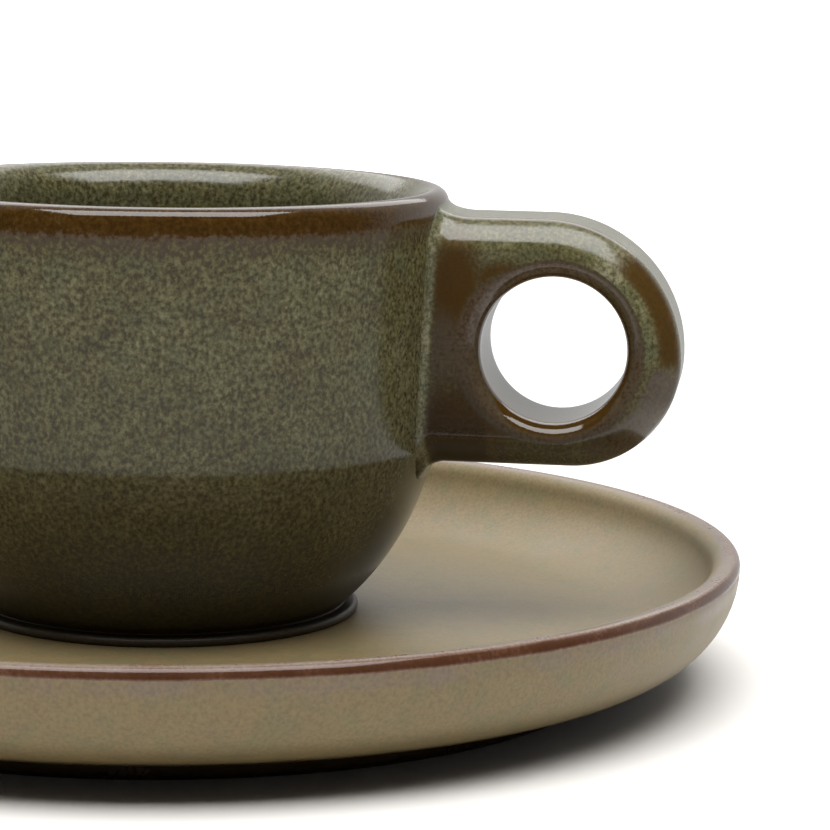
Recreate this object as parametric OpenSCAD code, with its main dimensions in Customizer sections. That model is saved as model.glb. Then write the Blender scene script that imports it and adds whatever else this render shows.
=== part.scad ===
// Espresso cup with saucer: a thrown stoneware cup with a ring handle, standing on a dished saucer.
// The saucer stands on its foot ring at height zero, its middle on the Z axis.
// The cup stands on the saucer's floor on the same axis, and the handle reaches out along +X.

/* [Saucer] */
// outer diameter of the saucer over its rim
saucer_d = 130; // [122:1:145]
// height of the rim above the table
saucer_h = 14.8; // [13.6:0.1:17]
// height of the saucer's floor above the table, where the cup stands
floor_z = 6.8; // [6.2:0.1:7.6]
// thickness of the upright rim at its root
rim_t = 3.6; // [3.2:0.1:4.4]
// outer diameter of the foot ring under the saucer
saucer_foot_d = 101.6; // [92:0.1:104]
// how far the foot ring stands below the underside
saucer_foot_h = 1.6; // [1.2:0.1:2.2]

/* [Cup] */
// outer diameter of the cup over its lip
cup_d = 63.6; // [60:0.1:68]
// height of the cup from its foot to the crest of the lip
cup_h = 47.9; // [45:0.1:53]
// thickness of the wall
wall_t = 4.8; // [4.2:0.1:5.4]
// thickness of the round lip, which the wall grows out of in a soft curve inside
lip_t = 3.4; // [3:0.1:3.8]
// how much the radius shrinks from the lip down to the shoulder
wall_taper = 1.1; // [0.8:0.1:2]
// height of the soft shoulder where the wall turns into the bowl
shoulder_h = 20.2; // [18.5:0.1:21]
// outer diameter of the low foot ring with its round edge
cup_foot_d = 44.2; // [42:0.1:46]
// thickness of the cup's floor over the hollow of its foot
cup_floor_t = 4.2; // [3.4:0.1:5.2]

/* [Handle] */
// width of the handle, front to back
handle_w = 15.2; // [12:0.1:16]
// how far the handle reaches out from the lip
handle_reach = 26.2; // [25.4:0.1:29]
// how far the top of the handle lies below the crest of the lip
handle_drop = 2.4; // [2.2:0.1:3.2]
// radius of the outline's upper right curve
upper_r = 15.2; // [14.6:0.1:16]
// radius of the outline's lower right curve
lower_r = 11.8; // [11.2:0.1:12.2]
// diameter of the finger hole at its narrowest
finger_d = 16; // [15:0.1:16.4]
// rounding of the handle's outer edges
handle_round = 2.6; // [2:0.1:2.7]
// rounding of the finger hole's edges
finger_round = 1.9; // [1.4:0.1:2]

/* [Hidden] */
$fn = 96;
// one overrun for every cut
over = 1;

// saucer, seen as a half section
saucer_r = saucer_d / 2;
rim_edge_r = 0.8;
rim_z = saucer_h - rim_edge_r;
side_r = 15.8;
side_x = saucer_r - side_r;
under_z = saucer_foot_h;
heel_r = 1.2;
heel_z = under_z + heel_r;
heel_x = side_x + sqrt(pow(side_r - heel_r, 2) - pow(rim_z - heel_z, 2));
heel_reach = 2;
heel_far_x = side_x + (heel_x - side_x) * heel_reach;
heel_far_z = rim_z - (rim_z - heel_z) * heel_reach;
inner_rim_r = rim_t - rim_edge_r;
dish_x = saucer_r - rim_t;
inner_rim_x = dish_x + inner_rim_r;
inner_rim_z = saucer_h - inner_rim_r;
dish_corner_r = inner_rim_z - floor_z;
saucer_foot_r = saucer_foot_d / 2;
saucer_foot_w = 4.4;
foot_edge_r = 0.7;
saucer_foot_in = saucer_foot_r - saucer_foot_w;

// cup, seen as a half section
cup_z = floor_z;
lip_r = lip_t / 2;
lip_x = cup_d / 2 - lip_r;
lip_z = cup_z + cup_h - lip_r;
shoulder_z = cup_z + shoulder_h;
shoulder_x = cup_d / 2 - wall_taper;
taper_angle = atan(wall_taper / (lip_z - shoulder_z));
cup_foot_r = cup_foot_d / 2;
bead_r = 0.55;
bead_up = 0.5;
bead_x = cup_foot_r - bead_r;
bead_z = cup_z + bead_up;
foot_top_z = bead_z + bead_r;
foot_low = 0.6;
foot_low_z = cup_z + foot_low;
crevice_in = 1.38;
crevice_up = 1.3;
crevice_x = cup_foot_r - crevice_in;
crevice_z = cup_z + crevice_up;
bowl_z = (pow(shoulder_x, 2) + pow(shoulder_z, 2) - pow(crevice_x, 2) - pow(crevice_z, 2))
  / (2 * (shoulder_z - crevice_z));
bowl_r = sqrt(pow(shoulder_x, 2) + pow(shoulder_z - bowl_z, 2));
cup_foot_w = 3.6;
cup_foot_in = cup_foot_r - cup_foot_w;
cup_hollow_h = 1.2;
hollow_z = cup_z + cup_hollow_h;
cup_floor_z = hollow_z + cup_floor_t;
well_x = shoulder_x - wall_t;
well_r = 15;
well_z = cup_floor_z + well_r;

// the lip inside: a tight curve over its crest, then a soft one down to the wall
soft_turn = 60;
soft_r = (wall_t - lip_r * (1 + cos(soft_turn))) / (cos(taper_angle) - cos(soft_turn));
soft_x = lip_x + (soft_r - lip_r) * cos(soft_turn);
soft_z = lip_z - (soft_r - lip_r) * sin(soft_turn);
soft_top_z = lip_z + lip_r * sin(soft_turn);
soft_low_x = soft_x - soft_r * cos(taper_angle);
soft_low_z = soft_z + soft_r * sin(taper_angle);

// handle, seen from the front
handle_x = cup_d / 2 + handle_reach;
handle_top = cup_z + cup_h - handle_drop;
handle_z = handle_top - upper_r;
handle_bottom = handle_z - lower_r;
handle_mid = (handle_top + handle_bottom) / 2;
handle_tall = handle_top - handle_bottom;
upper_x = handle_x - upper_r;
lower_x = handle_x - lower_r;
root_deep = 6.8;
root_x = shoulder_x - root_deep;
finger_r = finger_d / 2;
outer_wall = 5.83;
lower_wall = 4.86;
finger_x = handle_x - outer_wall - finger_r;
finger_z = handle_bottom + lower_wall + finger_r;

// soft roots where the clay of the handle is drawn out onto the wall
side_root_r = 1.4;
wall_mid_x = shoulder_x + wall_taper * (handle_mid - shoulder_z) / (lip_z - shoulder_z);
side_root_y = handle_w / 2 + side_root_r;
side_root_x = sqrt(pow(wall_mid_x + side_root_r, 2) - pow(side_root_y, 2));
side_root_turn = 90 - asin(side_root_y / (wall_mid_x + side_root_r));
side_root_sink = 0.12;
root_sink = 0.04;
root_w = handle_w - 2 * root_sink;
top_root_r = 4;
top_root_z = handle_top + top_root_r - root_sink;
top_root_in = 0.5;
top_root_x = lip_x - top_root_in + sqrt(pow(lip_r + top_root_r, 2) - pow(top_root_z - lip_z, 2));
top_root_turn = atan((top_root_z - lip_z) / (top_root_x - lip_x));
low_root_r = 2.4;
low_root_z = handle_bottom - low_root_r + root_sink;
low_root_x = sqrt(pow(bowl_r + low_root_r, 2) - pow(bowl_z - low_root_z, 2)) - top_root_in;
low_root_turn = atan((bowl_z - low_root_z) / low_root_x);
root_depth = handle_round + over;

// half section of the saucer without its rim and foot ring, its dish cut out
module dish_section() {
  difference() {
    union() {
      intersection() {
        translate([side_x, rim_z]) circle(r = side_r);
        translate([side_x, under_z]) square([side_r, rim_z - under_z]);
      }
      translate([0, under_z]) square([side_x, rim_z - under_z]);
    }
    // the dish, with a soft corner between the floor and the rim
    translate([0, floor_z]) square([dish_x - dish_corner_r, saucer_h]);
    intersection() {
      translate([dish_x - dish_corner_r, inner_rim_z]) circle(r = dish_corner_r);
      translate([0, floor_z]) square([dish_x, saucer_h]);
    }
    // the inner edge of the rim, which a round one replaces
    translate([0, inner_rim_z]) square([inner_rim_x, saucer_h]);
    // the sharp heel under the side, which a round one replaces
    polygon([
      [heel_x, heel_z],
      [heel_far_x, heel_far_z],
      [heel_x, heel_far_z]
    ]);
  }
}

// half section of the rim, tight outside and soft inside, and of the round heel
module rim_section() {
  translate([saucer_r - rim_edge_r, rim_z]) circle(r = rim_edge_r);
  intersection() {
    translate([inner_rim_x, inner_rim_z]) circle(r = inner_rim_r);
    translate([dish_x, inner_rim_z]) square([inner_rim_r, inner_rim_r]);
  }
  translate([heel_x, heel_z]) circle(r = heel_r);
}

// half section of the foot ring under the saucer
module saucer_foot_section() {
  for (x = [saucer_foot_in + foot_edge_r, saucer_foot_r - foot_edge_r])
    translate([x, foot_edge_r]) circle(r = foot_edge_r);
  translate([saucer_foot_in, foot_edge_r]) square([saucer_foot_w, under_z + over - foot_edge_r]);
  translate([saucer_foot_in + foot_edge_r, 0]) square([saucer_foot_w - 2 * foot_edge_r, under_z]);
}

module saucer() {
  color("tan") rotate_extrude() {
    dish_section();
    rim_section();
    saucer_foot_section();
  }
}

// half section of the cup as if it were filled to the crest of its lip
module cup_form_section() {
  intersection() {
    translate([0, bowl_z]) circle(r = bowl_r);
    translate([0, foot_low_z]) square([cup_d, shoulder_z - foot_low_z]);
  }
  polygon([
    [0, shoulder_z],
    [shoulder_x, shoulder_z],
    [cup_d / 2, lip_z],
    [0, lip_z]
  ]);
  translate([0, lip_z]) square([lip_x, lip_r]);
  translate([lip_x, lip_z]) circle(r = lip_r);
}

// half section of the room inside the cup: flat floor, deep round corner, wall and soft lip
module cup_room_section() {
  translate([0, cup_floor_z]) square([well_x - well_r, well_r]);
  intersection() {
    translate([well_x - well_r, well_z]) circle(r = well_r);
    translate([0, cup_floor_z]) square([well_x, well_r]);
  }
  polygon([
    [0, well_z],
    [well_x, well_z],
    [soft_low_x, soft_low_z],
    [0, soft_low_z]
  ]);
  difference() {
    translate([0, soft_low_z]) square([lip_x, soft_top_z - soft_low_z]);
    translate([soft_x, soft_z]) circle(r = soft_r);
  }
  translate([0, soft_top_z]) square([lip_x, lip_r + over]);
}

// half section of the low ring that the cup stands on, its edge round
module cup_foot_section() {
  intersection() {
    translate([bead_x, bead_z]) circle(r = bead_r);
    translate([bead_x - bead_r, cup_z]) square(2 * bead_r);
  }
  translate([cup_foot_in, cup_z]) square([bead_x - cup_foot_in, foot_top_z - cup_z]);
}

module cup_body() {
  color("darkolivegreen") rotate_extrude() {
    difference() {
      union() {
        cup_form_section();
        cup_foot_section();
      }
      cup_room_section();
      // the hollow under the foot
      translate([0, cup_z]) square([cup_foot_in, cup_hollow_h]);
    }
    translate([lip_x, lip_z]) circle(r = lip_r);
  }
}

// section of a bar that runs in X from zero, its far corners rounded
module bar_section(depth, width) {
  translate([0, -width / 2]) square([depth - handle_round, width]);
  translate([0, handle_round - width / 2]) square([depth, width - 2 * handle_round]);
  for (side = [-1, 1])
    translate([depth - handle_round, side * (width / 2 - handle_round)]) circle(r = handle_round);
}

// the same bar seen from a root's centre, its rounded corners towards the centre
module root_section(radius, width) {
  translate([radius + root_depth, 0]) mirror([1, 0]) bar_section(root_depth, width);
}

// a straight leg of the handle from inside the cup to where a curve starts, up or down
module leg(end_x, depth, turn) {
  translate([root_x, 0, handle_z]) rotate([90, 0, 90])
    linear_extrude(end_x - root_x) rotate(turn) bar_section(depth, handle_w);
}

// a quarter of a disc with rounded edges, standing in the XZ plane
module quarter(center_x, radius, turn) {
  translate([center_x, 0, handle_z]) rotate([90, 0, 0]) rotate([0, 0, turn])
    rotate_extrude(angle = 90) bar_section(radius, handle_w);
}

// the soft roots at the sides, tilted with the cup's wall
module side_root() {
  translate([side_root_x, -side_root_y, handle_mid]) rotate([0, taper_angle, 0]) rotate([0, 0, 90])
    rotate_extrude(angle = side_root_turn)
    root_section(side_root_r, handle_tall - 2 * side_root_sink);
}

module upper_root() {
  translate([top_root_x, 0, top_root_z]) rotate([90, 0, 0]) rotate([0, 0, 180 + top_root_turn])
    rotate_extrude(angle = 90 - top_root_turn) root_section(top_root_r, root_w);
}

module lower_root() {
  translate([low_root_x, 0, low_root_z]) rotate([90, 0, 0]) rotate([0, 0, 90])
    rotate_extrude(angle = 90 - low_root_turn) root_section(low_root_r, root_w);
}

// what the rounded edge takes off around one end of the finger hole
module finger_edge() {
  rotate_extrude() difference() {
    translate([finger_r - over, handle_w / 2 - finger_round])
      square([over + finger_round, finger_round + over]);
    translate([finger_r + finger_round, handle_w / 2 - finger_round]) circle(r = finger_round);
  }
}

module finger_hole() {
  translate([finger_x, 0, finger_z]) rotate([90, 0, 0]) {
    cylinder(r = finger_r, h = handle_w + 2 * over, center = true);
    finger_edge();
    mirror([0, 0, 1]) finger_edge();
  }
}

module handle() {
  color("olivedrab") difference() {
    union() {
      leg(upper_x, upper_r, 90);
      leg(lower_x, lower_r, -90);
      quarter(upper_x, upper_r, 0);
      quarter(lower_x, lower_r, -90);
      side_root();
      mirror([0, 1, 0]) side_root();
      upper_root();
      lower_root();
    }
    finger_hole();
    // the cup's own outside ends the handle, so the two meet face to face
    rotate_extrude() cup_form_section();
  }
}

cup_body();
handle();
saucer();
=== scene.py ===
# %% [markdown]
# # Espresso cup with saucer
# A small stoneware cup with a thick ring handle stands on a saucer with an upright rim.
# Three pieces of clay were formed: the cup and the saucer were turned, and the handle was
# pressed and stuck on before the firing. Then both were dipped in a reactive glaze.
# The lesson goes the same way: the turned pieces are spun from their half sections, the
# handle is laid out as a ring and drawn out onto the wall, and then comes the glaze.

import bpy
import math
import numpy as np
from mathutils import Matrix, Vector


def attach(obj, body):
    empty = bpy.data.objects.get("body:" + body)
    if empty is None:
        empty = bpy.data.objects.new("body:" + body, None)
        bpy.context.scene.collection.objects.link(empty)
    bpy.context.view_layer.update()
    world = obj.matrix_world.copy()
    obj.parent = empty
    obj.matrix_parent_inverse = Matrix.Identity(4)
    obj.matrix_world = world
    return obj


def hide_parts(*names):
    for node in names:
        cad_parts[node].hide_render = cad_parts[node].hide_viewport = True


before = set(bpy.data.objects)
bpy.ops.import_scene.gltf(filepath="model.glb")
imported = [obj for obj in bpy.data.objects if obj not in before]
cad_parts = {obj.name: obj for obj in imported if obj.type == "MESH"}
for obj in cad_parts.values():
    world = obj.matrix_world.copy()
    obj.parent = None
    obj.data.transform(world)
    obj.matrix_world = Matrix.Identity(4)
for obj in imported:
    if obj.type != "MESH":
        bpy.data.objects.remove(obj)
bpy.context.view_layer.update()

# %% Small helpers
MM = 0.001


def deselect():
    """Nothing selected, so that an operator acts only on what is picked next."""
    if bpy.context.object and bpy.context.object.mode != "OBJECT":
        bpy.ops.object.mode_set(mode="OBJECT")
    bpy.ops.object.select_all(action="DESELECT")


def arc(x, z, radius, start, end, count):
    """Points on an arc in a half section, in mm, angles in degrees."""
    turn = np.radians(np.linspace(start, end, count))
    return np.stack([x + radius * np.cos(turn), z + radius * np.sin(turn)], axis=1)


def line(start, end, count):
    """Points on a straight stretch of a half section, in mm, without its last one."""
    share = np.linspace(0, 1, count, endpoint=False)[:, None]
    return np.array(start) * (1 - share) + np.array(end) * share


def ease(value, low, high):
    """0 below low, 1 above high and a soft step between them."""
    share = np.clip((value - low) / (high - low), 0, 1)
    return share * share * (3 - 2 * share)


def places(piece):
    """The places of a piece's points, in mm."""
    flat = np.empty(len(piece.data.vertices) * 3)
    piece.data.vertices.foreach_get("co", flat)
    return flat.reshape(-1, 3) / MM


def set_places(piece, points):
    """Move a piece's points to these places, in mm."""
    piece.data.vertices.foreach_set("co", (points * MM).ravel())
    piece.data.update()


def add_attribute(piece, name, values):
    """One number for each point of a piece, which a material can read."""
    layer = piece.data.attributes.new(name, "FLOAT", "POINT")
    layer.data.foreach_set("value", np.asarray(values, dtype=np.float32))


# %% [markdown]
# ## Turned pieces
# A potter's wheel gives a form with one half section all the way round. The same could be
# made from a lathed cylinder primitive or with the Screw modifier. Spin is used here
# because the half section can then be drawn point by point, as a template for the wheel is,
# and its points can be close together where a curve is tight, such as at the lip.

# %% Spin a half section
# The primitives start at any size, because every point of theirs is then given its place.
START_R = 10
TURN_STEPS = 256
MERGED = 0.002


def turned(name, section):
    """A closed piece turned about the Z axis from a half section in mm, axis to axis."""
    deselect()
    bpy.ops.mesh.primitive_circle_add(vertices=len(section), radius=START_R * MM)
    piece = bpy.context.object
    piece.name = name
    points = np.zeros((len(section), 3))
    points[:, 0] = section[:, 0]
    points[:, 2] = section[:, 1]
    set_places(piece, points)
    bpy.ops.object.mode_set(mode="EDIT")
    bpy.ops.mesh.select_all(action="SELECT")
    bpy.ops.mesh.spin(steps=TURN_STEPS, angle=2 * math.pi, center=(0, 0, 0), axis=(0, 0, 1))
    bpy.ops.mesh.select_all(action="SELECT")
    bpy.ops.mesh.remove_doubles(threshold=MERGED * MM)
    bpy.ops.mesh.delete_loose()
    bpy.ops.mesh.select_all(action="SELECT")
    bpy.ops.mesh.normals_make_consistent(inside=False)
    bpy.ops.object.mode_set(mode="OBJECT")
    bpy.ops.object.shade_smooth()
    print(name, "faces:", len(piece.data.polygons))
    return piece


# %% [markdown]
# ## The cup's body
# It has a full round lip, a wall that leans in by two and a half degrees, a soft shoulder
# and a bowl that is part of a sphere. It stands on a narrow bead with a crevice over it.
# All sizes are in mm and are those of the construction: the saucer's floor, where the cup
# stands, is 6.8 above the table. Just under the lip the wall turns in a little, as it does
# where a sponge smoothed the lip.

# %% The cup's outside, from the bowl up to the crest of the lip
CUP_Z = 6.8
CUP_R, CUP_H = 31.8, 47.9
LIP_R = 1.7
LIP_X = CUP_R - LIP_R
LIP_Z = CUP_Z + CUP_H - LIP_R
SHOULDER = (30.7, 27.0)
SPONGED_R, SPONGED_TO, EDGE_LIP_R = 6.0, 14.0, 1.523
BEAD = (21.55, 7.3, 0.55)
BEAD_TOP = BEAD[1] + BEAD[2]
CREVICE = (20.72, 8.1)


def sine(degrees):
    """The sine of an angle in degrees."""
    return math.sin(math.radians(degrees))


def cosine(degrees):
    """The cosine of an angle in degrees."""
    return math.cos(math.radians(degrees))


TAPER = math.degrees(math.atan((CUP_R - SHOULDER[0]) / (LIP_Z - SHOULDER[1])))
sponged_z = LIP_Z + LIP_R - EDGE_LIP_R * (1 - sine(SPONGED_TO))
sponged_z -= SPONGED_R * (sine(SPONGED_TO) + sine(TAPER))
sponged_x = SHOULDER[0] + (CUP_R - SHOULDER[0]) * (sponged_z - SHOULDER[1]) / (LIP_Z - SHOULDER[1])
sponged = arc(
    sponged_x - SPONGED_R * cosine(TAPER), sponged_z + SPONGED_R * sine(TAPER),
    SPONGED_R, -TAPER, SPONGED_TO, 9,
)
BOWL_Z = (SHOULDER[0] ** 2 + SHOULDER[1] ** 2 - CREVICE[0] ** 2 - CREVICE[1] ** 2) / (
    2 * (SHOULDER[1] - CREVICE[1])
)
BOWL_R = math.hypot(SHOULDER[0], SHOULDER[1] - BOWL_Z)
bowl_from = math.degrees(math.asin((BEAD_TOP - BOWL_Z) / BOWL_R))
bowl_to = math.degrees(math.asin((SHOULDER[1] - BOWL_Z) / BOWL_R))
cup_outside = np.concatenate([
    arc(0, BOWL_Z, BOWL_R, bowl_from, bowl_to, 44)[:-1],
    line(SHOULDER, sponged[0], 42),
    sponged[:-1],
    arc(LIP_X, LIP_Z + LIP_R - EDGE_LIP_R, EDGE_LIP_R, SPONGED_TO, 90, 13),
])
print("the bowl's radius is %.2f mm, and the wall leans %.1f degrees" % (BOWL_R, TAPER))

# %% The cup's inside, from the crest of the lip to the middle of its floor
SOFT_R = 4.508
SOFT_FROM = 120
WELL_R = 15.0
WELL_Z = 12.2
WALL_THICK = 4.8
soft_x = LIP_X + (LIP_R - SOFT_R) * cosine(SOFT_FROM)
soft_z = LIP_Z + (LIP_R - SOFT_R) * sine(SOFT_FROM)
soft = arc(soft_x, soft_z, SOFT_R, SOFT_FROM, 180 - TAPER, 26)
well_side = SHOULDER[0] - WALL_THICK
cup_inside = np.concatenate([
    arc(LIP_X, LIP_Z, LIP_R, 90, SOFT_FROM, 7)[1:-1],
    soft[:-1],
    line(soft[-1], (well_side, WELL_Z + WELL_R), 30),
    arc(well_side - WELL_R, WELL_Z + WELL_R, WELL_R, 0, -90, 30)[:-1],
    line((well_side - WELL_R, WELL_Z), (0, WELL_Z), 9),
    [(0, WELL_Z)],
])
print("the lip is %.1f mm thick at most" % (2 * LIP_R))

# %% The cup's underside, from the middle of its recess over the bead to the crevice
RECESS_Z = 8.0
RECESS_R = 18.3
RECESS_EDGE_R = 0.4
FOOT_EDGE_R = 0.6
CREVICE_FLOOR = (21.45, 20.6)
bead_from = math.degrees(math.asin((BEAD[1] - CUP_Z) / BEAD[2]))
cup_underside = np.concatenate([
    line((0, RECESS_Z), (RECESS_R - RECESS_EDGE_R, RECESS_Z), 10),
    arc(RECESS_R - RECESS_EDGE_R, RECESS_Z - RECESS_EDGE_R, RECESS_EDGE_R, 90, 0, 5),
    arc(RECESS_R + FOOT_EDGE_R, CUP_Z + FOOT_EDGE_R, FOOT_EDGE_R, 180, 270, 6)[:-1],
    line((RECESS_R + FOOT_EDGE_R, CUP_Z), (BEAD[0] + BEAD[2] * cosine(bead_from), CUP_Z), 7),
    arc(*BEAD, -bead_from, 90, 16),
    line((CREVICE_FLOOR[0], BEAD_TOP), (CREVICE_FLOOR[1], BEAD_TOP), 4),
])
cup_section = np.concatenate([cup_underside, cup_outside, cup_inside])
print("cup section points:", len(cup_section))

# %% Turn the cup
cup = turned("cup_glazed", cup_section)
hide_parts("cup_body")
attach(cup, "cup")

# %% [markdown]
# ## The saucer
# Its rim is tight outside and soft inside. Its side is a quarter of an ellipse that turns in
# under the saucer, and inside, another one sweeps down from the rim to the flat floor. It
# stands on a broad foot ring that the shadow under it hides. The side and the sweep follow
# the photograph closer than the solid does, which is fuller below and has a tighter corner.

# %% The saucer's half section
SAUCER_R = 65.0
RIM_TOP = 14.8
RIM_OUT_R, RIM_IN_R = 1.1, 2.2
RIM_X = SAUCER_R - RIM_OUT_R
UNDER_Z = 3.0
SIDE_SIZE = (10.0, 10.7)
SIDE_X = SAUCER_R - SIDE_SIZE[0]
DISH_SIZE = (13.0, 7.5)
DISH_X, DISH_Z = 48.9, CUP_Z + DISH_SIZE[1]
DISH_TOP = 13.1
dish_from = math.degrees(math.asin((DISH_Z - DISH_TOP) / DISH_SIZE[1]))
print("the dish's sweep is %.1f mm wide and %.1f mm high" % DISH_SIZE)

# %% The saucer's foot ring
HOLLOW_Z = 1.6
HOLLOW_EDGE_R = 0.4
RING_IN, RING_OUT = 46.4, 50.8
RING_EDGE_R, RING_ROOT_R = 0.7, 1.0
RING_FLAT, UNDER_FLAT = 47.3, 51.9
foot_ring = np.concatenate([
    line((0, HOLLOW_Z), (RING_IN - HOLLOW_EDGE_R, HOLLOW_Z), 24),
    arc(RING_IN - HOLLOW_EDGE_R, HOLLOW_Z - HOLLOW_EDGE_R, HOLLOW_EDGE_R, 90, 0, 5)[:-1],
    arc(RING_IN + RING_EDGE_R, RING_EDGE_R, RING_EDGE_R, 180, 270, 7),
    line((RING_FLAT, 0), (RING_OUT - RING_EDGE_R, 0), 4),
    arc(RING_OUT - RING_EDGE_R, RING_EDGE_R, RING_EDGE_R, -90, 0, 7),
    arc(RING_OUT + RING_ROOT_R, UNDER_Z - RING_ROOT_R, RING_ROOT_R, 180, 90, 7),
    line((UNDER_FLAT, UNDER_Z), (SIDE_X, UNDER_Z), 4),
])
print("the foot ring is %.1f mm across" % (2 * RING_OUT))

# %% Turn the saucer
unit_side = arc(0, 0, 1, -90, 0, 56)[:-1]
unit_sweep = arc(0, 0, 1, -dish_from, -90, 40)[:-1]
saucer_section = np.concatenate([
    foot_ring,
    unit_side * SIDE_SIZE + (SIDE_X, UNDER_Z + SIDE_SIZE[1]),
    arc(RIM_X, RIM_TOP - RIM_OUT_R, RIM_OUT_R, 0, 90, 12)[:-1],
    arc(RIM_X, RIM_TOP - RIM_IN_R, RIM_IN_R, 90, 162, 18),
    unit_sweep * DISH_SIZE + (DISH_X, DISH_Z),
    line((DISH_X, CUP_Z), (0, CUP_Z), 54),
    [(0, CUP_Z)],
])
saucer = turned("saucer_glazed", saucer_section)
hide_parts("saucer")
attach(saucer, "saucer")

# %% [markdown]
# ## The handle
# A thick ring with a round finger hole, its edges rounded, and its root drawn out onto the
# wall with a wet finger. A boolean would leave a hard line at the root, and a remesh would
# round every edge. A torus already has the right faces: its rings are laid on the outline
# of the handle, and near the cup each point slides out along the wall in a soft curve.

# %% The handle's outline, seen from the front
# A round is given as the place of its middle and its radius. The flare of the finger hole
# is given as its width seen from the front and its depth.
HANDLE_W = 15.2
HOLE = (44.17, 38.16)
HOLE_R = 8.0
FLARE = (1.7, 2.0)
FLARE_LONG = math.pi / 2 * math.sqrt((FLARE[0] ** 2 + FLARE[1] ** 2) / 2)
UPPER = (42.8, 37.1, 15.2)
LOWER = (46.2, 37.1, 11.8)
HANDLE_TOP = UPPER[1] + UPPER[2]
HANDLE_LOW = LOWER[1] - LOWER[2]
NECK_X = 35.4
ROOT_X = 26.0
ROOT_R = 4.5
outline = np.concatenate([
    arc(*LOWER, -90, 0, 37)[:-1],
    arc(*UPPER, 0, 90, 49)[:-1],
    line((UPPER[0], HANDLE_TOP), (NECK_X, HANDLE_TOP), 15),
    line((NECK_X, HANDLE_TOP), (ROOT_X + ROOT_R, HANDLE_TOP), 34),
    arc(ROOT_X + ROOT_R, HANDLE_TOP - ROOT_R, ROOT_R, 90, 180, 5)[:-1],
    line((ROOT_X, HANDLE_TOP - ROOT_R), (ROOT_X, HANDLE_LOW + ROOT_R), 34),
    arc(ROOT_X + ROOT_R, HANDLE_LOW + ROOT_R, ROOT_R, 180, 270, 5)[:-1],
    line((ROOT_X + ROOT_R, HANDLE_LOW), (NECK_X, HANDLE_LOW), 34),
    line((NECK_X, HANDLE_LOW), (LOWER[0], HANDLE_LOW), 22),
])
ahead = np.roll(outline, -1, axis=0) - outline
behind = outline - np.roll(outline, 1, axis=0)
uneven = (np.linalg.norm(behind, axis=1) / np.linalg.norm(ahead, axis=1))[:, None]
step = ahead * uneven + behind / uneven
outward = np.stack([step[:, 1], -step[:, 0]], axis=1)
outward /= np.linalg.norm(outward, axis=1)[:, None]
print("outline points:", len(outline))


# %% The handle's outer edge: a quick bend, a broad soft bevel and a second bend to the face
# Each bend is given as the angle where it starts and its radius.
EDGE_BENDS = ((90, 2.1), (52, 6.6), (32, 2.6), (0, 0))
edge_rings = []
inset = depth = way = 0.0
for (start, radius), (end, _) in zip(EDGE_BENDS[:-1], EDGE_BENDS[1:]):
    turns = np.radians(np.linspace(start, end, 9))
    for here, there in zip(turns[:-1], turns[1:]):
        edge_rings.append((inset, depth, here, way))
        inset += radius * (math.sin(here) - math.sin(there))
        depth += radius * (math.cos(there) - math.cos(here))
        way += radius * (here - there)
edge_rings.append((inset, depth, 0.0, way))
EDGE_IN, EDGE_DEEP, EDGE_LONG = inset, depth, way
print("edge of the handle: %.2f mm in, %.2f mm deep" % (EDGE_IN, EDGE_DEEP))


# %% A section of the ring, from its outside over the front face into the hole
FACE_LEAST = 0.25
FAR_WAY = 9


def half_rings(outline, outward):
    """Rings from the middle of the outside to the middle of the hole, with their normals,
    and how far each lies over the surface from the outer edge and from the hole's edge."""
    rings = []
    half = HANDLE_W / 2
    flat = np.ones(len(outline))
    room = np.linalg.norm(outline - np.array(HOLE), axis=1) - HOLE_R - FLARE[0] - FACE_LEAST
    narrow = np.clip(room / EDGE_IN, 0, 1)[:, None]
    for y in np.linspace(0, half - EDGE_DEEP, 7)[:-1]:
        rings.append((
            outline, flat * y, outward, 0.0, flat * (y - half + EDGE_DEEP), flat * FAR_WAY,
        ))
    for inset, depth, rise, way in edge_rings:
        rings.append((
            outline - inset * narrow * outward, flat * (half - EDGE_DEEP + depth),
            outward * math.sin(rise), math.cos(rise), flat * way, flat * FAR_WAY,
        ))
    edge = outline - EDGE_IN * narrow * outward
    away = edge - np.array(HOLE)
    aim = away / np.linalg.norm(away, axis=1)[:, None]
    hole_edge = np.array(HOLE) + (HOLE_R + FLARE[0]) * aim
    width = np.linalg.norm(edge - hole_edge, axis=1)
    for share in np.linspace(0, 1, 27)[1:-1]:
        rings.append((
            edge * (1 - share) + hole_edge * share, flat * half, outward * 0, 1.0,
            EDGE_LONG + width * share, width * (1 - share),
        ))
    for turn in np.radians(np.linspace(90, 0, 13)):
        radius = HOLE_R + FLARE[0] * (1 - math.cos(turn))
        y = half - FLARE[1] + FLARE[1] * math.sin(turn)
        rings.append((
            np.array(HOLE) + radius * aim, flat * y, -aim * math.cos(turn), math.sin(turn),
            flat * FAR_WAY, -flat * FLARE_LONG * (1 - turn / (math.pi / 2)),
        ))
    for y in np.linspace(half - FLARE[1], 0, 8)[1:]:
        rings.append((
            np.array(HOLE) + HOLE_R * aim, flat * y, -aim, 0.0,
            flat * FAR_WAY, -flat * (FLARE_LONG + half - FLARE[1] - y),
        ))
    return rings


front = half_rings(outline, outward)
print("rings from outside to hole:", len(front))

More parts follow.
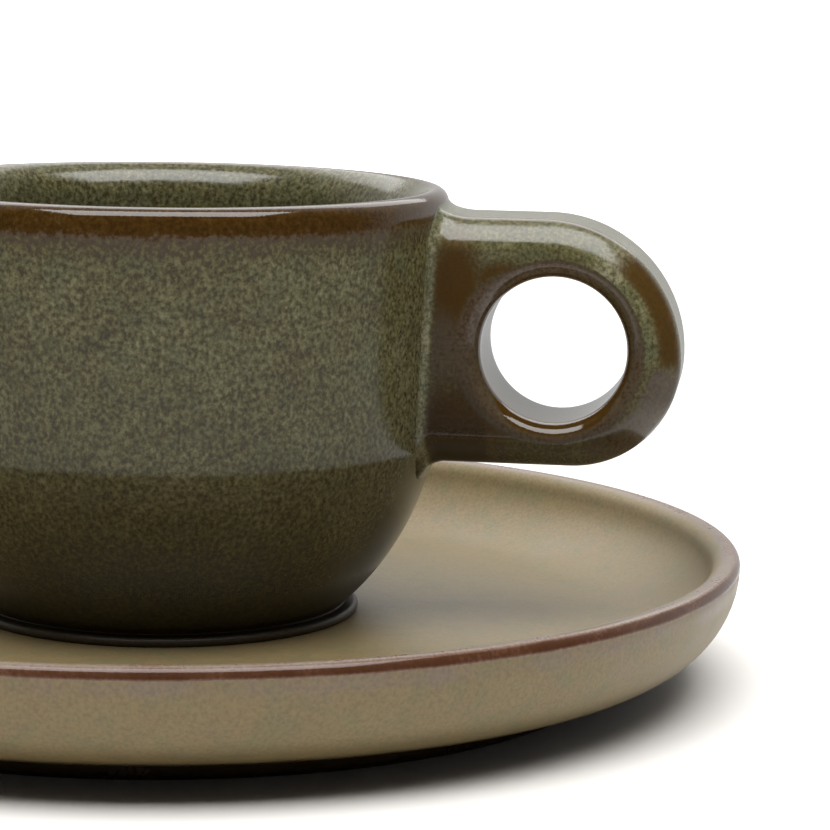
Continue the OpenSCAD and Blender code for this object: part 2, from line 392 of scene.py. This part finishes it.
# %% Lay a torus on the rings
TUBE_R = 4
minor = 2 * (len(front) - 1)
deselect()
bpy.ops.mesh.primitive_torus_add(
    major_segments=len(outline), minor_segments=minor, generate_uvs=False,
    major_radius=START_R * MM, minor_radius=TUBE_R * MM,
)
handle = bpy.context.object
handle.name = "handle_glazed"
points = np.zeros((len(outline), minor, 3))
ring_normal = np.zeros((len(outline), minor, 3))
from_edge = np.zeros((len(outline), minor))
from_hole = np.zeros((len(outline), minor))
for index, (seen, y, normal, facing, edge_way, hole_way) in enumerate(front):
    for column, side in ((index, -1), (-index % minor, 1)):
        sideways = np.full(len(outline), side * facing)
        points[:, column] = np.stack([seen[:, 0], side * y, seen[:, 1]], axis=1)
        ring_normal[:, column] = np.stack([normal[:, 0], sideways, normal[:, 1]], axis=1)
        from_edge[:, column] = edge_way
        from_hole[:, column] = hole_way
points = points.reshape(-1, 3)
ring_normal = ring_normal.reshape(-1, 3)
from_edge = from_edge.ravel()
from_hole = from_hole.ravel()
print("handle points:", len(points))


# %% [markdown]
# The root follows the cup's own outside. For a point near the cup, its distance from the
# wall is measured on the cup's half section. From a few mm out, the point then slides down
# a quarter of an ellipse that ends flat on the wall, so no line shows where the clay joins.
# What lies deeper than that stays hidden 1 mm under the wall.

# %% Distance from the cup's outside
# The crest of the lip is left out, because the handle never comes near it.
CREST_POINTS = 6
WALL = cup_outside[:-CREST_POINTS]
CLEAR_OF_WALL = 0.05
TINY = 1e-6


def wall_distance(points):
    """Signed distance from the cup's outside in mm, and the direction away from it."""
    radius = np.hypot(points[:, 0], points[:, 1])
    place = np.stack([radius, points[:, 2]], axis=1)
    start, end = WALL[:-1], WALL[1:]
    along = end - start
    length = (along ** 2).sum(axis=1)
    share = ((place[:, None, :] - start) * along).sum(axis=2) / length
    foot = start + np.clip(share, 0, 1)[:, :, None] * along
    gap = place[:, None, :] - foot
    far = np.hypot(gap[:, :, 0], gap[:, :, 1])
    pick = far.argmin(axis=1)
    rows = np.arange(len(place))
    gap, far, along = gap[rows, pick], far[rows, pick], along[pick]
    normal = np.stack([along[:, 1], -along[:, 0]], axis=1)
    normal /= np.linalg.norm(normal, axis=1)[:, None]
    sign = np.where((gap * normal).sum(axis=1) >= 0, 1.0, -1.0)
    clear = far > CLEAR_OF_WALL
    normal[clear] = gap[clear] / far[clear, None] * sign[clear, None]
    flat = np.maximum(radius, TINY)
    sideways, backwards = (normal[:, 0] * points[:, axis] / flat for axis in (0, 1))
    return sign * far, np.stack([sideways, backwards, normal[:, 1]], axis=1)


def onto(points, target, rounds=3):
    """Move points straight to or from the wall until their distance is the target."""
    for _ in range(rounds):
        far, away = wall_distance(points)
        points = points + (target - far)[:, None] * away
    return points


# %% Draw the root out onto the wall
# From how far out the clay bends towards the wall, and how far it then runs along it.
ROOT_SIDE = (1.4, 1.0)
ROOT_TOP = (3.2, 1.2)
ROOT_LOW = (2.4, 2.2)
SLIDE = 0.5
SLIDE_SUNK = 0.04
SLIDE_STEPS = 8
DEEPEST = 1.0
NEAR_X = 37
near = points[:, 0] < NEAR_X
laid, normal = points[near], ring_normal[near]
side = normal[:, 1] ** 2
top, low = np.clip(normal[:, 2], 0, 1) ** 2, np.clip(-normal[:, 2], 0, 1) ** 2
weight = side + top + low + TINY
reach = (side * ROOT_SIDE[0] + top * ROOT_TOP[0] + low * ROOT_LOW[0]) / weight
climb = (side * ROOT_SIDE[1] + top * ROOT_TOP[1] + low * ROOT_LOW[1]) / weight
sweep = math.pi / 2 * np.sqrt((reach ** 2 + climb ** 2) / 2)
far, away = wall_distance(laid)
turn = np.clip((reach - far) / np.maximum(sweep, TINY), 0, 1) * math.pi / 2
beyond = np.clip(reach - far - sweep, 0, None)
target = np.where(far > reach, far, reach * (1 - np.sin(turn)))
hidden = -SLIDE_SUNK * np.clip(beyond / SLIDE, 0, 1) - np.clip(beyond - SLIDE, 0, None)
target = np.maximum(np.where(beyond > 0, hidden, target), -DEEPEST)
rise = climb * (1 - np.cos(turn)) + np.clip(beyond, 0, SLIDE)
moved = onto(laid, target)
for _ in range(SLIDE_STEPS):
    far, away = wall_distance(moved)
    tangent = normal - (normal * away).sum(axis=1)[:, None] * away
    moved = onto(moved + (rise / SLIDE_STEPS)[:, None] * tangent, target, 2)
untouched = (rise < TINY * MM) & (target > 0)
points[near] = np.where(untouched[:, None], laid, moved)
drawn = np.zeros(len(points))
drawn[near] = np.clip(rise / np.maximum(climb, TINY), 0, 1)
print("root points moved:", int((~untouched).sum()), "of", len(points))

# %% Finish the handle
set_places(handle, points)
deselect()
handle.select_set(True)
bpy.context.view_layer.objects.active = handle
bpy.ops.object.shade_smooth()
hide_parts("handle")
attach(handle, "cup")
print("handle faces:", len(handle.data.polygons))

# %% [markdown]
# ## How thick the glaze lies
# A reactive glaze is milky and grey-green where it lies thick, and breaks to glossy brown
# where it ran thin over an edge, with a lavender grey line between the two. So each piece
# gets one number per point, from 0, thin, to 1, pooled, worked out from how far the point
# is from the nearest edge. A second number says where the iron of the clay came through,
# and it also browns the saucer's underside as painted shade. A third number is painted
# shade: it darkens the colour low on the cup, on the lower handle and under the saucer.
# The material turns all three into colour.


# %% Glaze on the cup
def band(value, start, full, end, gone):
    """1 between full and end, fading to 0 at start and at gone."""
    return ease(value, start, full) * (1 - ease(value, end, gone))


def blob(x, z, middle, size):
    """1 in an ellipse around a place seen from the front, in mm, fading to 0 outside it."""
    across = np.hypot((x - middle[0]) / size[0], (z - middle[1]) / size[1])
    return 1 - ease(across, 0.45, 1.45)


LIP_CREST_X = LIP_X + 0.2
LIP_INSIDE_Z = 50
BARE_Z, BLACK_Z, SHADE_BELOW_Z = 8.6, 9.4, 40
FOOT_FROM, BARE_FROM = 17.5, 18
spot = places(cup)
radius, height = np.hypot(spot[:, 0], spot[:, 1]), spot[:, 2]
below_lip, below_shoulder = LIP_Z - height, SHOULDER[1] - height
outside = radius > LIP_CREST_X
lip_inside = ~outside & (height > LIP_INSIDE_Z)
on_wall = 0.12 + 0.42 * ease(below_lip, 0.4, 1.9) + 0.18 * ease(below_lip, 1.6, 4.6)
thick = np.where(outside, on_wall, 0.74)
thick = np.where(lip_inside, 0.2 + 0.54 * ease(LIP_CREST_X - radius, 0.0, 1.3), thick)
# Painted shade: the colour darkens below the shoulder and is darkest on the foot, low on the cup.
painted_shade = 0.62 * ease(below_shoulder, -2.5, 3.0) + 0.38 * ease(below_shoulder, 4.0, 17.0)
painted_shade = np.where(height < BLACK_Z, 1.0, painted_shade) * (radius > FOOT_FROM) * (height < SHADE_BELOW_Z)
add_attribute(cup, "glaze", thick)
# The foot bead turns iron brown, partly as bare clay and partly as painted shade under the bowl.
add_attribute(cup, "iron_and_shade", np.where((height < BARE_Z) & (radius > BARE_FROM), 0.6, 0.0))
add_attribute(cup, "painted_shade", painted_shade)
print("points of the lip:", int(lip_inside.sum()))

# %% [markdown]
# The handle is seen from close by, so its patches are laid out one by one, by the angle
# around the finger hole and by the way over the surface from the outer edge and from the hole's.
# Inside the hole the glaze broke to brown, a lavender halo runs around the hole's edge, and
# brown patches lie on the upper right edge and where the handle leaves the wall.

# %% Glaze on the handle
BROWN_PATCHES = (
    ((33.4, 45.3), (3.3, 5.6), 0.95),
    ((38.3, 46.0), (3.2, 2.0), 0.9),
    ((34.6, 29.8), (5.6, 4.6), 0.75),
)
LAVENDER_PATCH = ((32.2, 38.6), (2.0, 3.6))
x, z = points[:, 0], points[:, 2]
around = np.degrees(np.arctan2(z - HOLE[1], x - HOLE[0]))
on_top = band(around, 40, 62, 150, 170)
upper_right = band(around, -16, -2, 46, 64)
lower_right = band(around, -75, -55, -14, -2)
left = ease(abs(around), 110, 150)
under = band(around, -150, -115, -60, -30)
thick = 0.60 + 0.18 * on_top + 0.20 * band(around, -24, -4, 50, 70)
halo_from = -1.25 - 0.75 * left + 0.85 * under
halo_to = 0.25 + 0.75 * left + 0.2 * under
halo = band(from_hole, halo_from - 0.25, halo_from + 0.15, halo_to - 0.25, halo_to + 0.3)
lavender = np.maximum(halo, 0.9 * blob(x, z, *LAVENDER_PATCH))
lavender = np.maximum(lavender, 0.9 * lower_right * band(from_edge, -0.6, 0.6, 4.0, 5.4))
thick = thick * (1 - lavender) + 0.42 * lavender
iron_and_shade = band(from_hole, -4.6, -3.2, halo_from - 0.3, halo_from + 0.15)
iron_and_shade = np.maximum(iron_and_shade, 0.9 * upper_right * band(from_edge, 0.2, 1.2, 3.2, 4.4))
top_edge = band(around, 50, 70, 175, 180) * band(from_edge, -0.35, 0.1, 0.7, 1.15)
iron_and_shade = np.maximum(iron_and_shade, 0.75 * top_edge)
for middle, size, share in BROWN_PATCHES:
    iron_and_shade = np.maximum(iron_and_shade, share * blob(x, z, middle, size) * (from_hole > 0))
iron_and_shade *= 1 - lavender
pooled = band(drawn, 0.02, 0.3, 0.9, 1.0)
thick = thick * (1 - pooled) + 0.88 * pooled
add_attribute(handle, "glaze", np.clip(thick, 0.03, 1))
add_attribute(handle, "iron_and_shade", np.clip(iron_and_shade * (1 - pooled), 0, 1))
# Painted shade: the handle darkens below the hole and towards the bottom of its root.
painted_shade = band(around, -175, -150, -60, -30) * ease(from_hole, -0.6, 1.0) * 0.5
painted_shade += 0.5 * ease(33.0 - z, 0.0, 7.0) * (x < NEAR_X)
add_attribute(handle, "painted_shade", np.clip(painted_shade * (1 - pooled), 0, 1))
print("brown share of the handle: %.2f" % float((iron_and_shade > 0.5).mean()))

# %% Glaze on the saucer
CREST_Z, SIDE_FROM, CREST_FROM = 14.3, 63.0, 61.5
spot = places(saucer)
radius, height = np.hypot(spot[:, 0], spot[:, 1]), spot[:, 2]
thick = np.full(len(spot), 0.8)
thick -= 0.2 * band(height, 10.8, 12.6, 13.3, 13.6) * (radius > SIDE_FROM)
thick -= 0.66 * band(height, 13.45, 13.75, 14.35, 14.75) * (radius > RIM_X)
thick -= 0.3 * ease(height, CREST_Z, 14.75) * (radius > CREST_FROM) * (height > CREST_Z)
# Painted shade: the saucer darkens towards its underside, and below 4.3 mm it also turns iron
# brown as painted shade.
painted_shade = 0.4 * ease(7.2 - height, 0.0, 2.4) + 0.6 * ease(4.8 - height, 0.0, 1.5)
add_attribute(saucer, "glaze", np.clip(thick, 0, 1))
add_attribute(saucer, "iron_and_shade", 0.9 * ease(4.3 - height, 0.0, 1.0))
add_attribute(saucer, "painted_shade", painted_shade)
print("thinnest glaze on the saucer's rim: %.2f" % thick.min())

# %% [markdown]
# ## Camera and light
# The photograph fixes the camera: 362 mm from the cup's axis, 85 mm above the table, looking
# slightly down, and close enough that the cup and saucer run out of the frame on the left.

# %% Camera
TURN = math.radians(11.45)
CAMERA_FAR, CAMERA_UP = 362.45, 85.30
ASIDE, DOWN, ROLLED = 4.468, 8.848, 0.991
SENSOR_WIDTH, LENS = 36, 141.09
camera_data = bpy.data.cameras.new("camera")
camera = bpy.data.objects.new("camera", camera_data)
bpy.context.collection.objects.link(camera)
bpy.context.scene.camera = camera
yaw, pitch, roll = math.radians(ASIDE) - TURN, math.radians(DOWN), math.radians(ROLLED)
forward = Vector((
    math.sin(yaw) * math.cos(pitch), math.cos(yaw) * math.cos(pitch), -math.sin(pitch),
))
right = Vector((math.cos(yaw), -math.sin(yaw), 0))
up = right.cross(forward)
right_rolled = right * math.cos(roll) + up * math.sin(roll)
up_rolled = -right * math.sin(roll) + up * math.cos(roll)
place = Vector((CAMERA_FAR * math.sin(TURN), -CAMERA_FAR * math.cos(TURN), CAMERA_UP)) * MM
turned_to = Matrix((right_rolled, up_rolled, -forward)).transposed().to_4x4()
camera.matrix_world = Matrix.Translation(place) @ turned_to
camera_data.sensor_width = SENSOR_WIDTH
camera_data.lens = LENS
camera_data.clip_start = 10 * MM
print("camera at", [round(v, 4) for v in place])

# %% [markdown]
# ## Floor and studio light
# The lip's own highlights say where the lamps stood: its outer round shows one soft box
# right above, from overhead to about 35 degrees towards the camera, and the pale line on
# its crest shows a second one high behind. The room in front was dark, as the pure browns
# of the lip show. The floor was lit until it burned out to white.

# %% One colour function and one node function
def hex_color(code):
    """An sRGB hex code as the linear colour that a shader takes."""
    values = [int(code[i:i + 2], 16) / 255 for i in (1, 3, 5)]
    linear = [v / 12.92 if v <= 0.04045 else ((v + 0.055) / 1.055) ** 2.4 for v in values]
    return (*linear, 1)


def add_node(tree, kind, settings=None, values=None, links=None):
    """A node of one kind with its settings, its sockets' values and its incoming links."""
    made = tree.nodes.new(kind)
    for name, setting in (settings or {}).items():
        setattr(made, name, setting)
    for socket, value in (values or {}).items():
        made.inputs[socket].default_value = value
    for socket, source in (links or {}).items():
        tree.links.new(source, made.inputs[socket])
    return made


# %% [markdown]
# The glaze mirrors the table close by with the object's own shadow on it, and from a hand's
# width away the lit table of the room below, which is why mirrored rays pass the floor there.

# %% Floor
FLOOR_SIZE = 16
LIT_FROM, LIT_FULL = 0.15, 0.9
MIRRORED_TO, MIRRORED_END = 0.085, 0.12
deselect()
bpy.ops.mesh.primitive_plane_add(size=FLOOR_SIZE, location=(0, 0, 0))
floor = bpy.context.object
floor.name = "studio_floor"
paper = bpy.data.materials.new("white_paper_sweep")
paper.use_nodes = True
tree = paper.node_tree
shader = tree.nodes["Principled BSDF"]
shader.inputs["Base Color"].default_value = hex_color("#ebe9e6")
shader.inputs["Roughness"].default_value = 0.9
shader.inputs["Specular IOR Level"].default_value = 0.0
shader.inputs["Emission Color"].default_value = (1, 1, 1, 1)
coords = add_node(tree, "ShaderNodeTexCoord")
far = add_node(
    tree, "ShaderNodeVectorMath", {"operation": "LENGTH"}, None, {0: coords.outputs["Object"]},
)
glow = add_node(
    tree, "ShaderNodeMapRange", {"interpolation_type": "SMOOTHSTEP"},
    {"From Min": LIT_FROM, "From Max": LIT_FULL, "To Min": 0.0, "To Max": 1.0},
    {"Value": far.outputs["Value"]},
)
tree.links.new(glow.outputs["Result"], shader.inputs["Emission Strength"])
ray = add_node(tree, "ShaderNodeLightPath")
open_floor = add_node(
    tree, "ShaderNodeMapRange", {"interpolation_type": "SMOOTHSTEP"},
    {"From Min": MIRRORED_TO, "From Max": MIRRORED_END, "To Min": 0.0, "To Max": 1.0},
    {"Value": far.outputs["Value"]},
)
gone = add_node(
    tree, "ShaderNodeMath", {"operation": "MULTIPLY"}, None,
    {0: open_floor.outputs["Result"], 1: ray.outputs["Is Glossy Ray"]},
)
clear = add_node(tree, "ShaderNodeBsdfTransparent")
sweep = add_node(
    tree, "ShaderNodeMixShader", None, None,
    {0: gone.outputs["Value"], 1: shader.outputs["BSDF"], 2: clear.outputs["BSDF"]},
)
tree.links.new(sweep.outputs["Shader"], tree.nodes["Material Output"].inputs["Surface"])
floor.data.materials.append(paper)
print("floor:", paper.name, "mirrored up to %.0f mm away" % (MIRRORED_TO / MM))

# %% Room
DARK_FRONT, LIT_BACK, LIT_TABLE = 0.035, 0.68, 0.78
world = bpy.data.worlds.new("studio_room")
bpy.context.scene.world = world
world.use_nodes = True
tree = world.node_tree
coords = add_node(tree, "ShaderNodeTexCoord")
turned_room = add_node(
    tree, "ShaderNodeMapping", None, {"Rotation": (0, 0, -TURN)},
    {"Vector": coords.outputs["Generated"]},
)
parts = add_node(tree, "ShaderNodeSeparateXYZ", None, None, {0: turned_room.outputs[0]})
back_wall = add_node(
    tree, "ShaderNodeMapRange", {"interpolation_type": "SMOOTHSTEP"},
    {"From Min": -0.2, "From Max": 0.45, "To Min": DARK_FRONT, "To Max": LIT_BACK},
    {"Value": parts.outputs["Y"]},
)
lit_table = add_node(
    tree, "ShaderNodeMapRange", {"interpolation_type": "SMOOTHSTEP"},
    {"From Min": -0.15, "From Max": -0.215, "To Min": 0.0, "To Max": LIT_TABLE},
    {"Value": parts.outputs["Z"]},
)
bright = add_node(
    tree, "ShaderNodeMath", {"operation": "MAXIMUM"}, None,
    {0: back_wall.outputs["Result"], 1: lit_table.outputs["Result"]},
)
seen = add_node(tree, "ShaderNodeLightPath")
shown = add_node(
    tree, "ShaderNodeMix", None, {3: 1.0},
    {0: seen.outputs["Is Camera Ray"], 2: bright.outputs["Value"]},
)
tree.nodes["Background"].inputs["Color"].default_value = (1, 1, 1, 1)
tree.links.new(shown.outputs[0], tree.nodes["Background"].inputs["Strength"])
bpy.context.scene.view_settings.view_transform = "Standard"
print("room:", DARK_FRONT, "in front and", LIT_BACK, "at the back")


# %% Soft boxes
def soft_box(name, width, depth, place, radiance):
    """A rectangle of light that faces the cup, its radiance the same as a white at 1."""
    lamp_data = bpy.data.lights.new(name, "AREA")
    lamp_data.shape = "RECTANGLE"
    lamp_data.size, lamp_data.size_y = width, depth
    lamp_data.energy = radiance * math.pi * width * depth
    lamp = bpy.data.objects.new(name, lamp_data)
    bpy.context.collection.objects.link(lamp)
    side = Vector((math.cos(TURN), math.sin(TURN), 0))
    back = Vector((-math.sin(TURN), math.cos(TURN), 0))
    spot = side * place[0] + back * place[1] + Vector((0, 0, place[2]))
    away = spot.normalized()
    lamp.matrix_world = Matrix.Translation(spot) @ Matrix(
        (side, away.cross(side), away)
    ).transposed().to_4x4()
    lamp.visible_camera = False
    print(name, "%.0f cm away" % (spot.length * 100))


soft_box("soft_box_above", width=1.08, depth=0.66, place=(0, -0.28, 0.92), radiance=6.8)
soft_box("soft_box_behind", width=1.5, depth=0.6, place=(0, 0.75, 0.72), radiance=2.2)


# %% [markdown]
# ## Reactive glaze on stoneware
# The clay is iron-rich stoneware. The glaze is a milky grey-green over iron brown, fired to
# a glossy skin. It gives the eye three things: a fine mottle of brown in grey-green, which
# runs a little downwards, brown where it thinned on edges, and a clear gloss on top.
# The mottle measures 0.4 to 0.5 mm on the photograph, the broad patches 6 to 7 mm and the
# greener ones 3 mm. The glass of a glaze has an IOR near 1.5. The saucer's finish is satin,
# and its IOR and roughness were matched to the soft sheen inside its rim.
#
# Three glazes come from one function: its arguments are the colours by thickness, the size
# and strength of the mottle, the strength of the patches, the green cast and its share, the
# darkest and lightest tone of the mottle, the roughness where thin and where thick, how
# much duller the foot is where the painted shade is full, and the IOR. The painted shade
# multiplies the colour by a dark tint.

# %% One glaze function for all three
# The last three numbers are the sockets of a Mix node that mixes colours.
# The first colour is iron brown, also used as painted shade on the saucer's underside; the second
# is the dark tint that paints shade.
IRON_BROWN = "#402b0c"
PAINTED_SHADE_TINT = "#a0966c"
PATCH_MM, CAST_MM = 6.667, 3.03
RUN_DOWN = (1, 1, 0.9)
SKIN_MM = 0.04
THINNED = 0.45
COLOR_A, COLOR_B, COLOR_OUT = 6, 7, 2


def glaze(name, stops, mottle_mm, mottle, patch, green, green_share, tone, roughness, matt, ior):
    """A glaze whose colour follows its thickness, mottled finely and in patches."""
    material = bpy.data.materials.new(name)
    material.use_nodes = True
    tree = material.node_tree
    shader = tree.nodes["Principled BSDF"]
    coords = add_node(tree, "ShaderNodeTexCoord")
    run = add_node(
        tree, "ShaderNodeMapping", None, {"Scale": RUN_DOWN}, {0: coords.outputs["Object"]},
    )
    fine = add_node(
        tree, "ShaderNodeTexNoise", None,
        {"Scale": 1 / (mottle_mm * MM), "Detail": 2.0, "Roughness": 0.6},
        {"Vector": run.outputs[0]},
    )
    broad = add_node(
        tree, "ShaderNodeTexNoise", None,
        {"Scale": 1 / (PATCH_MM * MM), "Detail": 3.0, "Roughness": 0.55},
        {"Vector": coords.outputs["Object"]},
    )
    cast = add_node(
        tree, "ShaderNodeTexNoise", None, {"Scale": 1 / (CAST_MM * MM), "Detail": 2.0},
        {"Vector": coords.outputs["Object"]},
    )
    thick = add_node(tree, "ShaderNodeAttribute", {"attribute_name": "glaze"})
    iron_and_shade = add_node(tree, "ShaderNodeAttribute", {"attribute_name": "iron_and_shade"})
    fine_part = add_node(
        tree, "ShaderNodeMapRange", None,
        {"From Min": 0.3, "From Max": 0.7, "To Min": -mottle, "To Max": mottle},
        {0: fine.outputs[0]},
    )
    broad_part = add_node(
        tree, "ShaderNodeMapRange", None,
        {"From Min": 0.3, "From Max": 0.7, "To Min": -patch, "To Max": patch},
        {0: broad.outputs[0]},
    )
    patchy = add_node(
        tree, "ShaderNodeMath", {"operation": "ADD"}, None,
        {0: thick.outputs["Fac"], 1: broad_part.outputs[0]},
    )
    level = add_node(
        tree, "ShaderNodeMath", {"operation": "ADD"}, None,
        {0: patchy.outputs[0], 1: fine_part.outputs[0]},
    )
    ramp = add_node(tree, "ShaderNodeValToRGB", None, None, {0: level.outputs[0]})
    stripes = ramp.color_ramp.elements
    while len(stripes) < len(stops):
        stripes.new(0.5)
    for stripe, (position, code) in zip(stripes, stops):
        stripe.position = position
        stripe.color = hex_color(code)
    full = add_node(
        tree, "ShaderNodeMapRange", None,
        {"From Min": 0.5, "From Max": 0.66, "To Min": 0.0, "To Max": green_share},
        {0: level.outputs[0]},
    )
    greener = add_node(
        tree, "ShaderNodeMapRange", None, {"From Min": 0.48, "From Max": 0.66, "To Min": 0.0},
        {0: cast.outputs[0], "To Max": full.outputs[0]},
    )
    greened = add_node(
        tree, "ShaderNodeMix", {"data_type": "RGBA"}, {COLOR_B: hex_color(green)},
        {0: greener.outputs[0], COLOR_A: ramp.outputs[0]},
    )
    bare = add_node(
        tree, "ShaderNodeMath", {"operation": "MULTIPLY_ADD", "use_clamp": True}, {1: 1.0},
        {0: iron_and_shade.outputs["Fac"], 2: fine_part.outputs[0]},
    )
    browned = add_node(
        tree, "ShaderNodeMix", {"data_type": "RGBA"}, {COLOR_B: hex_color(IRON_BROWN)},
        {0: bare.outputs[0], COLOR_A: greened.outputs[COLOR_OUT]},
    )
    dark = add_node(
        tree, "ShaderNodeMapRange", None,
        {"From Min": 0.32, "From Max": 0.66, "To Min": tone[0], "To Max": tone[1]},
        {0: fine.outputs[0]},
    )
    body = add_node(
        tree, "ShaderNodeMath", {"operation": "MULTIPLY_ADD"}, {1: -THINNED},
        {0: iron_and_shade.outputs["Fac"], 2: level.outputs[0]},
    )
    milky = add_node(
        tree, "ShaderNodeMapRange", None,
        {"From Min": 0.2, "From Max": 0.55, "To Min": 0.35, "To Max": 1.0},
        {0: body.outputs[0]},
    )
    toned = add_node(
        tree, "ShaderNodeMix", {"data_type": "RGBA", "blend_type": "MULTIPLY"}, None,
        {0: milky.outputs[0], COLOR_A: browned.outputs[COLOR_OUT], COLOR_B: dark.outputs[0]},
    )
    # Painted shade: the colour is multiplied by the dark tint where the shade attribute is high.
    shade_share = add_node(tree, "ShaderNodeAttribute", {"attribute_name": "painted_shade"})
    painted_shade = add_node(
        tree, "ShaderNodeMix", {"data_type": "RGBA", "blend_type": "MULTIPLY"},
        {COLOR_B: hex_color(PAINTED_SHADE_TINT)},
        {0: shade_share.outputs["Fac"], COLOR_A: toned.outputs[COLOR_OUT]},
    )
    tree.links.new(painted_shade.outputs[COLOR_OUT], shader.inputs["Base Color"])
    gloss = add_node(
        tree, "ShaderNodeMapRange", None,
        {"From Min": 0.2, "From Max": 0.8, "To Min": roughness[0], "To Max": roughness[1]},
        {0: body.outputs[0]},
    )
    dulled = add_node(
        tree, "ShaderNodeMapRange", None,
        {"From Min": 0.94, "From Max": 1.0, "To Min": 0.0, "To Max": matt},
        {0: shade_share.outputs["Fac"]},
    )
    satin = add_node(
        tree, "ShaderNodeMath", {"operation": "ADD"}, None,
        {0: gloss.outputs[0], 1: dulled.outputs[0]},
    )
    tree.links.new(satin.outputs[0], shader.inputs["Roughness"])
    shader.inputs["IOR"].default_value = ior
    bump = add_node(
        tree, "ShaderNodeBump", None, {"Strength": 0.25, "Distance": SKIN_MM * MM},
        {"Height": fine.outputs[0]},
    )
    tree.links.new(bump.outputs[0], shader.inputs["Normal"])
    print(name, "nodes:", len(tree.nodes))
    return material


# %% Glaze of the cup and the handle
CUP_STOPS = [
    (0.0, "#35230a"), (0.25, "#402c0f"), (0.42, "#4a3e30"), (0.52, "#453c2b"), (0.60, "#494029"),
    (0.70, "#504c2f"), (0.86, "#5f5d42"), (1.0, "#7a765f"),
]
GREEN, GREEN_SHARE = "#444a36", 0.32
GLOSSY = (0.09, 0.2)
GLASS_IOR = 1.5
cup_glaze = glaze(
    "reactive_stoneware_glaze", CUP_STOPS, mottle_mm=0.47, mottle=0.17, patch=0.05,
    green=GREEN, green_share=GREEN_SHARE, tone=(0.62, 1.32),
    roughness=GLOSSY, matt=0.35, ior=GLASS_IOR,
)
handle_glaze = glaze(
    "reactive_stoneware_glaze_on_handle", CUP_STOPS, mottle_mm=0.4, mottle=0.1, patch=0.07,
    green=GREEN, green_share=GREEN_SHARE, tone=(0.64, 1.32),
    roughness=GLOSSY, matt=0.0, ior=GLASS_IOR,
)
for piece, finish in ((cup, cup_glaze), (handle, handle_glaze)):
    piece.data.materials.clear()
    piece.data.materials.append(finish)

# %% Glaze of the saucer
SAUCER_STOPS = [
    (0.0, "#432715"), (0.16, "#4c3020"), (0.3, "#6a4c3b"), (0.5, "#75665a"),
    (0.66, "#79694d"), (0.8, "#7c6c4b"), (1.0, "#7a7050"),
]
saucer_glaze = glaze(
    "satin_stoneware_glaze", SAUCER_STOPS, mottle_mm=0.4, mottle=0.04, patch=0.09,
    green="#6c694b", green_share=0.45, tone=(0.84, 1.12),
    roughness=(0.15, 0.44), matt=0.0, ior=1.42,
)
saucer.data.materials.clear()
saucer.data.materials.append(saucer_glaze)
